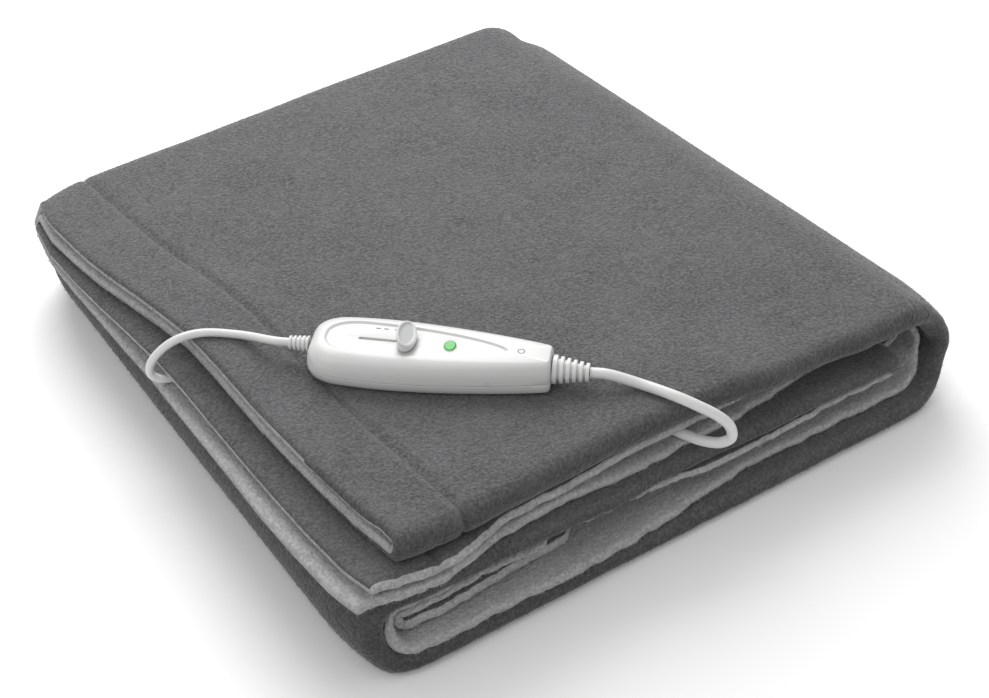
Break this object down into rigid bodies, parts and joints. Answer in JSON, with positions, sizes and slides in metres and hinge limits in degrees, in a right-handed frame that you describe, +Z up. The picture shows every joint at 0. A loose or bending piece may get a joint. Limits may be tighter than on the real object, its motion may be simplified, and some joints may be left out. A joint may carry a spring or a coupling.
{
  "type": "electric heated blanket",
  "caption": "Plush electric blanket folded into a thick pad, with a slide-switch hand controller lying on it and its leads tucked between the plies.",
  "frame": {"origin": "on the surface the folded blanket rests on, under the middle of the blanket", "axes": "+Z up; X along the roll, with the top hem at low X; Y across it, with the open edges at low Y"},
  "size_m": [0.4666, 0.476, 0.1214],
  "materials": {
    "plush": "short pile, dark grey outside and light grey inside",
    "white_abs": "smooth, slightly glossy",
    "green_lens": "clear green, lit",
    "white_pvc": "smooth satin"
  },
  "bodies": {
    "folded_blanket": {"blanket": "plush", "controller_base": "white_abs", "controller_lid": "white_abs", "lamp_lens": "green_lens", "strain_relief_thin": "white_pvc", "strain_relief_thick": "white_pvc", "cord_thin": "white_pvc", "cord_thick": "white_pvc"},
    "slider": {"slider_knob": "white_abs"}
  },
  "joints": [
    {"name": "heat_slide", "type": "slide", "parent": "folded_blanket", "child": "slider", "axis": [0.7193, -0.6946, 0.0131], "range_m": [-0.025, 0]}
  ]
}
